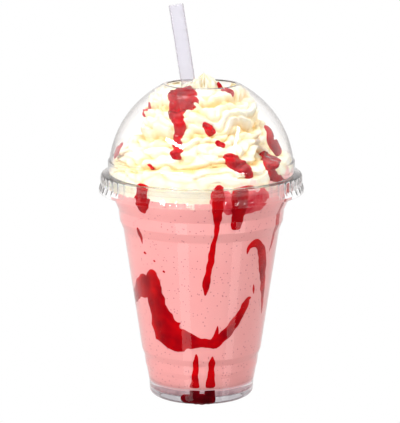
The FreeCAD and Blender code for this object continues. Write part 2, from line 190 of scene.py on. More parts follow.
# %% Lid
LID_COLLAR_RADIUS, LID_COLLAR_HEIGHT = 46.2, 118.5
DOME_FOOT_RADIUS, DOME_FOOT_HEIGHT = 45.4, 119.3
CROWN_RADIUS, HOLE_RADIUS, DOME_CURVE = 18.7, 17.3, 48.8
SKIRT_RADIUS, SKIRT_LOW, SKIRT_MIDDLE = 49.5, 107.0, 109.6
LIP_HEIGHT, LIP_BOTTOM = 104.7, lid_low.z
FLANGE_TOP = CUP_HEIGHT + LID_WALL
RIB_COUNT, RIB_DEPTH = 60, 0.5


def dome_centre():
    """Middle of the dome's arc, from its two ends and its radius."""
    foot, crown = Vector((DOME_FOOT_RADIUS, DOME_FOOT_HEIGHT)), Vector((CROWN_RADIUS, LID_TOP))
    chord = crown - foot
    side = Vector((-chord.y, chord.x)).normalized()
    return (foot + crown) / 2 + side * math.sqrt(DOME_CURVE**2 - (chord.length / 2) ** 2)


DOME_MIDDLE = dome_centre()
DOME_LOW = math.degrees(math.asin((DOME_FOOT_HEIGHT - DOME_MIDDLE.y) / DOME_CURVE))
DOME_HIGH = math.degrees(math.asin((LID_TOP - DOME_MIDDLE.y) / DOME_CURVE))


def lid_section():
    """The lid's half section, outside from the lip to the hole and back inside, and its rounds."""
    wall = LID_WALL
    lip_inside = LIP_RADIUS - 1.2 * wall
    outside = [
        (lip_inside, LIP_BOTTOM), (LIP_RADIUS, LIP_BOTTOM), (LIP_RADIUS, LIP_HEIGHT),
        (SKIRT_RADIUS, SKIRT_LOW), (SKIRT_RADIUS, SKIRT_MIDDLE), (SKIRT_RADIUS, FLANGE_TOP),
        (LID_COLLAR_RADIUS, FLANGE_TOP), (LID_COLLAR_RADIUS, LID_COLLAR_HEIGHT),
    ]
    dome = arc_points(DOME_MIDDLE, DOME_CURVE, DOME_LOW, DOME_HIGH, 24)
    crown = [
        (HOLE_RADIUS, LID_TOP), (HOLE_RADIUS, LID_TOP - wall),
        (CROWN_RADIUS - wall / 2, LID_TOP - wall),
    ]
    under = arc_points(DOME_MIDDLE, DOME_CURVE - wall, DOME_HIGH - 0.6, DOME_LOW, 24)
    inside = [
        (LID_COLLAR_RADIUS - wall, LID_COLLAR_HEIGHT - wall / 2),
        (LID_COLLAR_RADIUS - wall, CUP_HEIGHT), (SKIRT_RADIUS - wall, CUP_HEIGHT),
        (SKIRT_RADIUS - wall, SKIRT_MIDDLE), (SKIRT_RADIUS - wall, SKIRT_LOW - wall / 2),
        (lip_inside, LIP_HEIGHT),
    ]
    rounding = {1: 0.2, 2: 0.4, 3: 0.6, 5: 0.8, 6: 0.7, 7: 0.35}
    return outside + dome + crown + under + inside, rounding


def press_ribs(bm):
    """Pushes the skirt's rings out and in, as the mould's upright ribs do."""
    for vert in bm.verts:
        radius = math.hypot(vert.co.x, vert.co.y) / MM
        height = vert.co.z / MM
        on_skirt = radius >= SKIRT_RADIUS - 1.2
        if not (on_skirt and LIP_HEIGHT + 0.2 <= height <= FLANGE_TOP - 0.75):
            continue
        angle = math.atan2(vert.co.y, vert.co.x)
        upright = math.sin(math.pi * (height - LIP_HEIGHT) / (FLANGE_TOP - LIP_HEIGHT)) ** 0.5
        rib = max(0.0, math.cos(RIB_COUNT * angle)) ** 0.6
        push = RIB_DEPTH * upright * (rib - 0.1)
        vert.co.xy *= (radius + push) / radius


# %% Spin the lid and press its ribs
section, rounding = lid_section()
lid_mesh = turned(section, RIB_COUNT * 8, rounding)
press_ribs(lid_mesh)
lid = mesh_object("dome lid", lid_mesh)
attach(lid, "root")
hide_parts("lid")
print("lid:", len(lid.data.polygons), "faces")
print("dome arc from", round(DOME_LOW), "to", round(DOME_HIGH), "degrees")

# %% [markdown]
# ## The straw
# The straw is a thin clear tube that leans out of the hole. A tube is a spun wall, made upright
# and then leaned over by one rotation. Its width and its foot's height come from the frame: a
# straw is as wide as its box is deep. Its lean, its length and its foot's place across are given.

# %% Straw
straw_low, straw_high = (Vector(corner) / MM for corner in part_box("straw"))
STRAW_RADIUS = straw_high.y
STRAW_WALL = 0.25
STRAW_LEAN = math.radians(8.8)
STRAW_LENGTH = 190.0
STRAW_FOOT = Vector((16.7, 0, straw_low.z + STRAW_RADIUS * math.sin(STRAW_LEAN)))
STRAW_WAY = Vector((-math.sin(STRAW_LEAN), 0, math.cos(STRAW_LEAN)))

tube = turned(
    [(STRAW_RADIUS - STRAW_WALL, 0), (STRAW_RADIUS, 0), (STRAW_RADIUS, STRAW_LENGTH),
     (STRAW_RADIUS - STRAW_WALL, STRAW_LENGTH)], 64,
)
for vert in tube.verts:
    upright = vert.co.copy()
    vert.co = STRAW_FOOT * MM + Vector((
        upright.x * math.cos(STRAW_LEAN) - upright.z * math.sin(STRAW_LEAN), upright.y,
        upright.x * math.sin(STRAW_LEAN) + upright.z * math.cos(STRAW_LEAN),
    ))
straw = mesh_object("straw tube", tube)
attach(straw, "root")
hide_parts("straw")
print("straw leans", round(math.degrees(STRAW_LEAN), 1), "degrees")

# %% [markdown]
# ## The shake
# The drink fills the tumbler and touches its wall all over. If it stopped at the wall's inner
# face, the two faces would fight, and if it stopped short, a silvery film of air would show. So
# it is turned with the wall's own section, 0.2 mm further out: its skin lies inside the plastic.

# %% Milkshake
SKIN = 0.2  # how far the drink reaches into the wall


def wall_radius(height):
    """Inner radius of the tumbler's wall, or above it of the lid's collar."""
    steps = [(24.0, 0.0)] + WALL_STEPS + [(MOUTH_RADIUS, ROLL_HEIGHT)]
    for (low_radius, low), (high_radius, high) in zip(steps, steps[1:]):
        if height <= high:
            share = (height - low) / (high - low)
            return low_radius + (high_radius - low_radius) * share - CUP_WALL
    return MOUTH_RADIUS - CUP_WALL


drink_foot = FLOOR_HEIGHT - SKIN
drink_section = [(0, drink_foot), (WALL_STEPS[0][0] - CUP_WALL + SKIN, drink_foot)]
drink_section += [(radius - CUP_WALL + SKIN, height) for radius, height in WALL_STEPS[1:]]
drink_section += [(wall_radius(DRINK_LEVEL) + SKIN, DRINK_LEVEL), (0, DRINK_LEVEL)]
drink_rounding = {number: STEP_ROUND for number in range(2, 1 + len(WALL_STEPS))}
drink_rounding[1] = FLOOR_ROUND
shake = mesh_object("shake", turned(drink_section, TURNED_STEPS, drink_rounding, closed=False))
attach(shake, "root")
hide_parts("milkshake")
print("shake:", len(shake.data.polygons), "faces, up to", round(DRINK_LEVEL, 1), "mm")

# %% [markdown]
# ## The whipped cream
# A star nozzle lays a fluted rope in a rising spiral, each turn on the last, and the rope sags
# into soft ruffles. One way is to sweep a star along a helix, but the real turns melt into each
# other. So the cream starts as a dome that is spun, and every point of it is moved along its ray
# from the middle: the mound gives the outline, the spiral gives the creases, and waves and noise
# give flutes, ruffles and froth.

# %% The mound
CREAM_CENTRE = 112.0
COLLAR_RADIUS = LID_COLLAR_RADIUS
CREASE_HEIGHT, PITCH, CREASE_DEPTH, PEAK_OFFSET = 125.0, 14.2, 4.6, 1.2
CREAM_GAP = 0.3  # between the cream and the dome that it is pressed against
CREAM_SHY = 0.12  # the least that it stays off the upright plastic
FREE_SHARE = 0.76  # above this the cream stands in the lid's hole, under no plastic
# share of the way up the dome of cream, and how far out the mound reaches there, in collar radii
MOUND = [
    (0.00, 1.000), (0.09, 0.985), (0.16, 0.920), (0.22, 0.855), (0.31, 0.805), (0.40, 0.825),
    (0.49, 0.865), (0.56, 0.930), (0.62, 0.980), (0.66, 1.000), (0.70, 1.040), (0.735, 1.040),
    (0.765, 0.975), (0.84, 0.950), (0.90, 0.985),
]


def mound_reach(share):
    """How far the smooth mound reaches from its centre, in millimetres."""
    last_share, last_value = MOUND[-1]
    if share > last_share:
        rise = (share - last_share) / (1 - last_share)
        side = COLLAR_RADIUS * last_value
        return side + (CREAM_PEAK - CREAM_CENTRE - side) * rise**1.2
    for (low, low_value), (high, high_value) in zip(MOUND, MOUND[1:]):
        if share <= high:
            mix = (share - low) / (high - low)
            return COLLAR_RADIUS * (low_value + (high_value - low_value) * mix**2 * (3 - 2 * mix))


def dome_reach(climb):
    """How far the cream may reach along a ray before it presses on the dome or its crown."""
    clearance = LID_WALL + CREAM_GAP
    lift = DOME_MIDDLE.y - CREAM_CENTRE
    along_ray = DOME_MIDDLE.x * math.cos(climb) + lift * math.sin(climb)
    rest = along_ray**2 - DOME_MIDDLE.x**2 - lift**2 + (DOME_CURVE - clearance) ** 2
    to_crown = LID_TOP - clearance - CREAM_CENTRE
    return min(along_ray + math.sqrt(rest), to_crown / max(math.sin(climb), 0.1))


def plastic_radius(height):
    """Inner radius of the plastic round the cream."""
    if height < CUP_HEIGHT:
        return wall_radius(height)
    if height < LID_COLLAR_HEIGHT - LID_WALL:
        return LID_COLLAR_RADIUS - LID_WALL
    if height < DOME_FOOT_HEIGHT:
        return DOME_FOOT_RADIUS - LID_WALL
    if height > LID_TOP - 2 * LID_WALL:
        return HOLE_RADIUS
    return DOME_MIDDLE.x + math.sqrt((DOME_CURVE - LID_WALL) ** 2 - (height - DOME_MIDDLE.y) ** 2)


# %% The rope's folds
def froth(x, y, z, size):
    """Smooth noise between -1 and 1, with lumps of that size in millimetres."""
    return noise.noise(Vector((x, y, z)) / size)


def rope_relief(height, angle, spot):
    """How far the rope's creases, flutes and ruffles lie under the mound, and how hollow it is."""
    turn = (height - CREASE_HEIGHT) / PITCH - angle / math.tau
    bulge = abs(math.sin(math.pi * turn)) ** 0.6
    warp = 0.7 * froth(*spot, 8.0) + 0.35 * math.sin(9 * angle + 1.7 * turn)
    ridge = abs(math.sin(math.pi * (3 * turn + warp))) ** 0.8
    ripple = abs(math.sin(math.pi * (14 * angle / math.tau + 1.5 * froth(*spot, 11.0) + turn)))
    sway = 0.8 * math.sin(3 * angle + 0.31 * height) + 0.5 * math.sin(5 * angle - 0.47 * height)
    fold = 2.1 * (1 - ridge) + 1.5 * (1 - ripple**0.7)
    fluff = 0.6 * froth(*spot, 3.0) + 0.4 * froth(*spot, 1.5)
    hollow = min(1.0, 0.6 * (1 - bulge) + 0.55 * (1 - ridge) + 0.35 * (1 - ripple) - 0.25 * fluff)
    return CREASE_DEPTH * (1 - bulge) * 0.9 + fold - 1.2 + sway + fluff, hollow


def cream_spot(share, angle):
    """A point of the cream's skin in millimetres, and how deep in a hollow it lies (0 to 1)."""
    reach = mound_reach(share)
    climb = math.radians(90 * share)
    height = CREAM_CENTRE + reach * math.sin(climb)
    out = reach * math.cos(climb)
    spot = (out * math.cos(angle), out * math.sin(angle), height)
    relief, hollow = rope_relief(height, angle, spot)
    reach -= relief * min(1.0, share / 0.05 + 0.25) * min(1.0, (1 - share) / 0.10)
    if share < FREE_SHARE:
        reach = min(reach, dome_reach(climb))
    height = CREAM_CENTRE + reach * math.sin(climb)
    radius = min(reach * math.cos(climb), plastic_radius(height) - CREAM_SHY)
    drift = PEAK_OFFSET * max(0.0, (share - FREE_SHARE) / (1 - FREE_SHARE)) ** 1.5
    return Vector((radius * math.cos(angle) + drift, radius * math.sin(angle), height)), hollow


# %% Spin the dome and pipe it
CREAM_STEPS, CREAM_ROWS, CREAM_WALL_ROWS = 360, 230, 16
CREAM_FOOT = DRINK_LEVEL - 0.4  # a little way into the drink, so that no gap shows
dome_points = [(0, CREAM_FOOT)]
for row in range(CREAM_WALL_ROWS):
    height = CREAM_FOOT + (CREAM_CENTRE - CREAM_FOOT) * row / CREAM_WALL_ROWS
    dome_points.append((wall_radius(height) - 0.1, height))
dome_points += arc_points((0, CREAM_CENTRE), COLLAR_RADIUS, 0, 90, CREAM_ROWS)
cream_mesh = turned(dome_points, CREAM_STEPS, closed=False)
bmesh.ops.remove_doubles(cream_mesh, verts=cream_mesh.verts, dist=0.002 * MM)
# How deep in a hollow each point lies: the cream's finish paints shade by it, darker and yellower in
# the hollows
hollow_shade_layer = cream_mesh.verts.layers.float.new("hollow")
for vert in cream_mesh.verts:
    x, y, z = vert.co / MM
    if z < CREAM_CENTRE - 1e-4:
        vert[hollow_shade_layer] = 0.3 + 0.3 * froth(x, y, z, 6.0)
        continue
    angle = math.atan2(y, x) % math.tau
    share = math.degrees(math.atan2(z - CREAM_CENTRE, math.hypot(x, y))) / 90
    place, hollow = cream_spot(min(share, 1.0), angle)
    vert.co = place * MM
    vert[hollow_shade_layer] = hollow
cream = mesh_object("piped cream", cream_mesh, 180.0)
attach(cream, "root")
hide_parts("whipped_cream")
print("cream:", len(cream.data.polygons), "faces")

# %% [markdown]
# ## The syrup
# Red syrup was swirled round the tumbler before the shake went in, and more was poured on the
# cream. It is a thin layer that follows what it lies on, thick in the middle of a run and thin at
# its edges. Each run is a small grid: it is bent along its path, narrowed by its widths, laid on
# the surface, and closed underneath. A surface is a function that puts (degrees from the front,
# climb) at a place in space. On the tumbler's wall climb is the height in millimetres, and it
# goes on round the floor's corner and along the floor. On the cream it is in degrees, seen from
# the mound's centre.

# %% Runs of syrup
def along(values, place):
    """A smooth curve through rows of equally spaced values, place from 0 to 1."""
    spot = place * (len(values) - 1)
    index = min(int(spot), len(values) - 2)
    mix = spot - index
    rows = [values[min(max(index + step, 0), len(values) - 1)] for step in (-1, 0, 1, 2)]
    blended = []
    for before, start, end, after in zip(*rows):
        curve = (end - before) * mix
        curve += (2 * before - 5 * start + 4 * end - after) * mix**2
        curve += (3 * start - before - 3 * end + after) * mix**3
        blended.append(start + 0.5 * curve)
    return blended


RUN_CELLS = (72, 14)  # faces along a run and across it


def syrup_run(name, path, surface, thickness, sink, rough):
    """A run of syrup. Each row of path is (degrees from the front, climb, half-width in mm).

    surface is two functions: lay(degrees, climb, lift) puts a point on what the syrup lies on, and
    steps(climb) says how many millimetres a degree and a unit of climb are there.
    """
    lay, steps = surface
    bm = bmesh.new()
    bmesh.ops.create_grid(bm, x_segments=RUN_CELLS[0], y_segments=RUN_CELLS[1], size=1.0)
    depth_layer = bm.verts.layers.float.new("depth")
    grown = bmesh.ops.extrude_face_region(bm, geom=bm.faces[:], use_keep_orig=True)["geom"]
    underside = {item for item in grown if isinstance(item, bmesh.types.BMVert)}
    for vert in bm.verts:
        x, y, _ = vert.co
        place = (x + 1) / 2
        degrees, climb, half_width = along(path, place)
        side_step, climb_step = steps(climb)
        ahead = along(path, min(place + 0.02, 1.0))
        behind = along(path, max(place - 0.02, 0.0))
        way = Vector(((ahead[0] - behind[0]) * side_step, (ahead[1] - behind[1]) * climb_step))
        across = Vector((way.y, -way.x)).normalized() if way.length > 1e-6 else Vector((1, 0))
        ends = math.sqrt(max(0.0, 1 - (2 * place - 1) ** 10))
        edge = 1 + rough * froth(climb, degrees * 0.6, 5.0 * y, 3.5)
        shift = across * (max(half_width, 0.1) * ends * edge * y)
        crown = math.sqrt(max(0.0, 1 - y**4)) * ends
        lift = -sink if vert in underside else -sink * 0.5 + (thickness + sink * 0.5) * crown
        vert.co = lay(degrees + shift.x / side_step, climb + shift.y / climb_step, lift) * MM
        vert[depth_layer] = crown * min(1.0, half_width / 4)
    return mesh_object(name, bm, 180.0)


def lay_runs(runs, surface, thickness, sink, rough):
    """Lays the named runs on one surface, and makes them ride with the tumbler."""
    laid = []
    for name, path in runs.items():
        run = syrup_run(name, path, surface, thickness, sink, rough)
        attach(run, "root")
        laid.append(run)
    return laid


# %% The tumbler's wall as a surface
def on_wall(degrees, climb, lift):
    """A place between the drink and the wall's outer face, and lower down under the drink."""
    angle = math.radians(degrees)
    radius, height, outward, upward = wall_radius(climb) + SKIN, climb, 1.0, 0.0
    over = FLOOR_HEIGHT + FLOOR_ROUND - climb
    if over > 0:
        bend = min(over / FLOOR_ROUND, math.pi / 2)
        outward, upward = math.cos(bend), -math.sin(bend)
        radius -= FLOOR_ROUND * (1 - outward) + max(0.0, over - FLOOR_ROUND * math.pi / 2)
        height = FLOOR_HEIGHT - SKIN + FLOOR_ROUND * (1 + upward)
    radius += outward * lift
    return Vector((radius * math.sin(angle), -radius * math.cos(angle), height + upward * lift))


def wall_steps(climb):
    return math.radians(plastic_radius(climb)), 1.0


WALL = (on_wall, wall_steps)
print("a degree round the wall is", round(wall_steps(DRINK_LEVEL)[0], 2), "mm at the drink's level")

# %% Syrup inside the tumbler
WALL_RUNS = {
    "sweep": [(-41, 70, 3.6), (-41.5, 65, 5.2), (-41.5, 59, 6.2), (-40.5, 52, 6.6),
              (-37.5, 45, 7.8), (-31, 37.6, 9.0), (-22.5, 34.4, 7.6), (-14, 34.3, 5.6),
              (-5, 33.6, 3.7), (3, 33, 3.0), (12, 33.2, 3.1), (20, 36.2, 2.9), (28, 41, 3.0),
              (35, 46.2, 2.7), (39.5, 51, 2.8), (42, 54, 1.7), (46, 54.4, 0.6)],
    "sweep lobe": [(-90, 36, 0.5), (-86, 43, 1.6), (-80, 49.5, 2.8), (-72, 53, 4.0),
                   (-64, 56, 4.5), (-56, 58, 5.6), (-48, 60, 7.0), (-41, 61.5, 6.4)],
    "sweep tick": [(14.2, 42, 0.2), (14, 39.5, 0.9), (13, 36.5, 1.5), (11, 34, 1.6)],
    "middle drip": [(10, 113, 3.4), (10.1, 107, 3.4), (10.4, 100, 2.8), (10.3, 91, 1.3),
                    (8.8, 84, 1.5), (7.3, 77.5, 1.8), (5.4, 70, 1.7), (3.6, 62.7, 1.9),
                    (3, 57.4, 0.8)],
    "thick drip": [(24, 112, 5.6), (24, 107, 5.2), (24, 101.5, 4.5), (24.2, 96, 3.6),
                   (24.3, 90.5, 3.0)],
    "right hook": [(36, 77, 0.5), (37, 80.5, 1.4), (41, 82.3, 1.9), (46.5, 81.5, 2.5),
                   (51.5, 77, 3.1), (54.5, 71, 3.3), (57, 65, 2.9), (60, 58, 2.3),
                   (63, 50.5, 1.6), (65.5, 43, 0.6)],
    "edge run": [(66, 112, 1.8), (65.5, 106, 2.0), (65.5, 99, 2.0), (66.5, 92, 2.4),
                 (66.5, 86, 2.4), (65.5, 81, 1.4), (62, 75.5, 0.4)],
    "left drip": [(-37, 113, 3.6), (-38.5, 107, 4.2), (-40, 102.5, 4.2), (-41, 99.5, 3.0),
                  (-41.5, 98, 1.6)],
    "left drop": [(-50, 89.8, 0.7), (-49.6, 87, 1.7), (-49.1, 84, 1.1), (-48.6, 81.3, 0.3)],
    "small drop": [(46.4, 61, 0.4), (47, 58.6, 0.8), (47.8, 56, 0.3)],
    "left trickle": [(-4.8, 27.5, 0.5), (-5, 23.5, 1.5), (-6, 17.5, 1.8), (-6.6, 12, 2.2),
                     (-8, 6, 3.0), (-8, 1.5, 3.4)],
    "right trickle": [(10.5, 26.2, 0.5), (10, 22, 1.9), (9.7, 17, 1.9), (9.6, 12, 2.3),
                      (10.5, 6, 3.2), (10, 1.5, 3.4)],
    "fleck one": [(-48.5, 77, 0.4), (-47, 77, 0.8), (-45.5, 76.6, 0.3)],
    "fleck two": [(-39, 74, 0.3), (-38, 73.8, 0.7), (-37, 73.5, 0.3)],
    "fleck three": [(-31, 69.4, 0.3), (-30, 69, 0.6), (-29, 68.6, 0.3)],
}
VEIL = {
    "syrup veil": [(5, 106, 2.0), (12, 105, 5.0), (22, 104, 6.4), (32, 104, 6.4), (40, 105, 5.5),
                   (46, 107, 2.0)],
}
wall_syrup = lay_runs(WALL_RUNS, WALL, 0.14, 0.3, 0.35)
veil = lay_runs(VEIL, WALL, 0.06, 0.3, 0.45)
print(len(wall_syrup + veil), "runs of syrup on the wall")

# %% Syrup in the foot
POOL_RADIUS = 25


def in_foot(degrees, climb, lift):
    """A place in the thick foot, which shows the pool in the drink's bottom corner magnified."""
    angle, radius = math.radians(degrees), POOL_RADIUS + lift
    return Vector((radius * math.sin(angle), -radius * math.cos(angle), climb))


POOL = {
    "syrup pool": [(-24, 3.0, 1.2), (-17, 3.0, 2.3), (-5, 3.1, 2.6), (8, 3.1, 2.7),
                   (16, 3.3, 2.2)],
}
ROOTS = {
    name: [(degrees - 0.2, 2.6, 2.0), (degrees, 4.6, 2.5), (degrees + 0.2, 8.6, 2.7)]
    for name, degrees in (("left root", -8), ("right root", 9.5))
}
FOOT = (in_foot, wall_steps)
pool = lay_runs(POOL, FOOT, 0.1, 0.1, 0.3)
pool += lay_runs(ROOTS, FOOT, 0.1, 0.1, 0.2)
print(len(pool), "runs of syrup in the foot")

# %% Syrup on the cream
def on_cream(degrees, climb, lift):
    """A place on the cream, bridging its finest folds. climb is in degrees from its centre."""
    angle = math.radians(degrees) - math.pi / 2
    if climb < 0.5:
        height = CREAM_CENTRE + COLLAR_RADIUS * math.sin(math.radians(climb))
        radius = plastic_radius(height) - 0.15 + min(lift, 0.0)
        return Vector((radius * math.cos(angle), radius * math.sin(angle), height))
    spots = []
    for turn, rise in ((0, 0), (0.04, 0), (-0.04, 0), (0, 0.02), (0, -0.02)):
        share = min(max(climb / 90 + rise, 0.0), 0.995)
        spots.append(cream_spot(share, (angle + turn) % math.tau)[0])
    reach = [(spot - Vector((0, 0, CREAM_CENTRE))).length for spot in spots]
    outward = (spots[0] - Vector((0, 0, CREAM_CENTRE))).normalized()
    draped = 0.5 * max(reach) + 0.5 * sum(reach) / len(reach)
    return Vector((0, 0, CREAM_CENTRE)) + outward * (max(draped, reach[0]) + lift)


def cream_steps(climb):
    reach = math.radians(mound_reach(min(max(climb / 90, 0.0), 1.0)))
    return reach * math.cos(math.radians(climb)), reach


# Runs of syrup are (degrees from the front, climb, half-width in mm).
CREAM_RUNS = {
    "pour": [(-31, 76.5, 3.6), (-26.2, 64.8, 8), (-28.5, 60.2, 7.8), (-29.5, 57.1, 6.6),
             (-29.2, 55, 4.9), (-23.1, 47.7, 3.5), (-22.1, 42.2, 2.7), (-22.9, 37.4, 2.4),
             (-20.3, 28.5, 2.5), (-19.9, 22.4, 3.2), (-19.4, 18.6, 3)],
    "left crescent": [(-77, 54.5, 0.6), (-77, 51, 1.6), (-77, 48, 1.4), (-78, 45, 0.4)],
    "dash left": [(-38.3, 13.3, 0.5), (-35.7, 12, 1.1), (-33.8, 10.2, 0.4)],
    "dash one": [(1.1, 45.7, 0.6), (4.6, 44.5, 1.6), (9.2, 41.9, 1.6), (14.2, 40.6, 0.6)],
    "dash two": [(12, 32.7, 0.6), (14.6, 31.8, 1.7), (17.3, 29.8, 1.5), (19.9, 28.5, 0.5)],
    "hole blob": [(61, 79.6, 0.6), (70, 78.4, 1.3), (80, 75, 1.2), (88, 72, 0.5)],
    "crown blob": [(33, 68, 0.7), (37, 66.3, 1.9), (41.8, 64.3, 2.3), (47.7, 62.4, 1)],
    "front piece": [(16.8, 22.1, 1), (21.5, 18.9, 3.2), (25.3, 14.9, 4.4), (29.5, 11.2, 4.6),
                    (31.1, 8.5, 3.4), (34, 6.3, 1)],
    "side piece": [(54.2, 21, 1.4), (59.7, 16.4, 3.2), (51.8, 11.9, 3.2), (47.7, 7.8, 2.6),
                   (51.6, 3.6, 3.2), (57.2, -0, 3), (66.7, -3.1, 1.6)],
    "low blob": [(8.2, 0.2, 0.7), (10.6, 1, 1.7), (13.4, 0.3, 0.8)],
    "low smear": [(23.8, -0.6, 0.5), (28, -0.1, 1.2), (33, 0.1, 0.5)],
}
cream_syrup = lay_runs(CREAM_RUNS, (on_cream, cream_steps), 0.7, 1.6, 0.45)
print(len(cream_syrup), "runs of syrup on the cream")

# %% Syrup on the inside of the dome
def on_dome(degrees, climb, lift):
    """A place on the inside of the lid's dome."""
    angle = math.radians(degrees)
    radius = plastic_radius(climb) - 0.1 - lift
    return Vector((radius * math.sin(angle), -radius * math.cos(angle), climb))


DOME_RUNS = {
    "left splash": [(-64, 129.8, 0.7), (-67, 127, 2.4), (-69.5, 124.3, 2.6), (-71.5, 121.2, 0.8)],
    "right splash": [(53, 138.6, 0.8), (56, 136, 2.5), (55, 133.5, 2.9), (55, 131, 3.5),
                     (58, 128.3, 4.0), (63, 126, 1.6)],
}
dome_syrup = lay_runs(DOME_RUNS, (on_dome, wall_steps), 0.5, 0.0, 0.6)
print(len(dome_syrup), "splashes on the dome")

# %% [markdown]
# ## Finishes
# Shader maths reads best as arithmetic. A `Signal` stands for the output of a node, and its
# operators add Math nodes, so `1 - mask * 0.5` is a small network. `Finish` dresses a material or
# the world, and its methods make the other nodes.

# %% Shader helpers
class Signal:
    """One output of a node. Arithmetic on it adds Math nodes."""

    def __init__(self, finish, socket):
        self.finish = finish
        self.socket = socket

    def maths(self, operation, *values):
        return self.finish.node("ShaderNodeMath", {"operation": operation}, dict(enumerate(values)))

    def __add__(self, other):
        return self.maths("ADD", self, other)

    def __sub__(self, other):
        return self.maths("SUBTRACT", self, other)

    def __mul__(self, other):
        return self.maths("MULTIPLY", self, other)

    def __pow__(self, other):
        return self.maths("POWER", self, other)

    def __gt__(self, other):
        return self.maths("GREATER_THAN", self, other)

    def __lt__(self, other):
        return self.maths("LESS_THAN", self, other)

    def __rsub__(self, other):
        return self.maths("SUBTRACT", other, self)

    __radd__ = __add__
    __rmul__ = __mul__


# %% A finish and its nodes
class Finish:
    """The nodes of a material or of the world, and the methods that add to them."""

    def __init__(self, owner):
        self.owner = owner
        self.owner.use_nodes = True
        self.tree = self.owner.node_tree
        self.tree.nodes.clear()

    def node(self, kind, settings=None, values=None, output=0):
        """Adds a node, sets it, then gives its sockets values or links."""
        made = self.tree.nodes.new(kind)
        for key, value in (settings or {}).items():
            setattr(made, key, value)
        for key, value in (values or {}).items():
            if isinstance(value, Signal):
                self.tree.links.new(value.socket, made.inputs[key])
            else:
                made.inputs[key].default_value = value
        return Signal(self, made.outputs[output]) if made.outputs else None

    def ramp(self, factor, stops):
        """A colour ramp: stops are (place, colour)."""
        made = self.tree.nodes.new("ShaderNodeValToRGB")
        elements = made.color_ramp.elements
        while len(elements) < len(stops):
            elements.new(1.0)
        for element, (place, colour) in zip(elements, stops):
            element.position = place
            element.color = (*colour, 1)
        self.tree.links.new(factor.socket, made.inputs["Fac"])
        return Signal(self, made.outputs["Color"])

    def blend(self, factor, first, second):
        """A mix of two colours."""
        made = self.tree.nodes.new("ShaderNodeMix")
        made.data_type = "RGBA"
        for key, value in ((0, factor), (6, first), (7, second)):
            if isinstance(value, Signal):
                self.tree.links.new(value.socket, made.inputs[key])
            else:
                made.inputs[key].default_value = value if key == 0 else (*value, 1)
        return Signal(self, made.outputs[2])

    def place(self):
        """The piece's own coordinates, in metres."""
        return self.node("ShaderNodeTexCoord", output=3)

    def noise(self, scale, detail=2.0, roughness=0.5):
        """Noise of that scale per metre."""
        return self.node("ShaderNodeTexNoise", {}, {
            "Vector": self.place(), "Scale": scale, "Detail": detail, "Roughness": roughness,
        })

    def light_path(self, output):
        return self.node("ShaderNodeLightPath", output=output)

    def surface(self, shader):
        kind = "World" if isinstance(self.owner, bpy.types.World) else "Material"
        self.node("ShaderNodeOutput" + kind, {}, {"Surface": shader})
        return self.owner


def new_finish(name):
    return Finish(bpy.data.materials.new(name))


def dress(pieces, finish_material):
    for piece in pieces:
        piece.data.materials.clear()
        piece.data.materials.append(finish_material)
    print(finish_material.name, "on", len(pieces), "piece(s)")


# %% [markdown]
# ### Clear plastic
# Clear plastic bends light and mirrors a little of it. Its outline looks darker, because there
# the eye looks along the sheet. A Layer Weight node mixes in a greyer glass at grazing angles. To
# the lamps the sheet is simply open: a Light Path node gives shadow rays a Transparent shader, so
# that the cream is well lit.

# %% Clear plastic finishes
def clear_plastic(name, outline_colour, outline, index, sharpness, haze=0.0):
    """Clear plastic. outline is how much of its colour shows at its edges, haze how milky it is.

    The thick foot is coloured greyer, with streaks, below the drink's floor: painted shade where its
    thick plastic looks dark.
    """
    finish = new_finish(name)
    height = finish.node("ShaderNodeSeparateXYZ", {}, {0: finish.place()}, output=2)
    streaks = (finish.noise(260.0, 3.0) - 0.5) * 1.6
    up_the_foot = height * (1 / (FLOOR_HEIGHT * MM)) + streaks
    # painted shade: the foot's plastic is coloured grey, in streaks, below the drink's floor
    painted_foot_shade = finish.ramp(up_the_foot, [(0.55, (0.50, 0.47, 0.49)), (0.95, (1, 1, 1))])
    clear = finish.node("ShaderNodeBsdfPrincipled", {}, {
        "Base Color": painted_foot_shade, "Roughness": 0.02, "IOR": index, "Transmission Weight": 1.0,
    })
    rim = finish.node("ShaderNodeBsdfPrincipled", {}, {
        "Base Color": (*outline_colour, 1), "Roughness": 0.05, "IOR": index,
        "Transmission Weight": 0.6,
    })
    grazing = finish.node("ShaderNodeLayerWeight", {}, {"Blend": 0.5}, output=1)
    sheet = finish.node("ShaderNodeMixShader", {}, {
        0: (grazing**sharpness) * outline, 1: clear, 2: rim,
    })
    if haze:
        milky = finish.node("ShaderNodeBsdfPrincipled", {}, {
            "Base Color": (0.44, 0.41, 0.50, 1), "Roughness": 0.25, "IOR": index,
        })
        sheet = finish.node("ShaderNodeMixShader", {}, {0: haze, 1: sheet, 2: milky})
    lamps = finish.node("ShaderNodeBsdfTransparent", {}, {"Color": (0.97, 0.97, 0.97, 1)})
    return finish.surface(finish.node(
        "ShaderNodeMixShader", {}, {0: finish.light_path("Is Shadow Ray"), 1: sheet, 2: lamps},
    ))


OUTLINE = (0.30, 0.22, 0.20)
dress([lid], clear_plastic("clear lid", OUTLINE, 0.9, 1.42, 5))
dress([cup], clear_plastic("clear tumbler", OUTLINE, 0.6, 1.42, 5))
dress([straw], clear_plastic("clear straw", (0.5, 0.34, 0.36), 0.9, 1.4, 4, 0.2))

# %% [markdown]
# ### Shake, cream and syrup
# The shake is an even pink with a few fine dark specks of fruit, and cream melts into its top.
# Its underside glows with painted light.
# The cream is ivory, with painted shade in its hollows: they are coloured darker and yellower,
# where light goes in and out several times. Syrup is bright red where it is thin and dark where
# it is thick, and always wet.

# %% Food finishes
IVORY = (0.95, 0.90, 0.77)


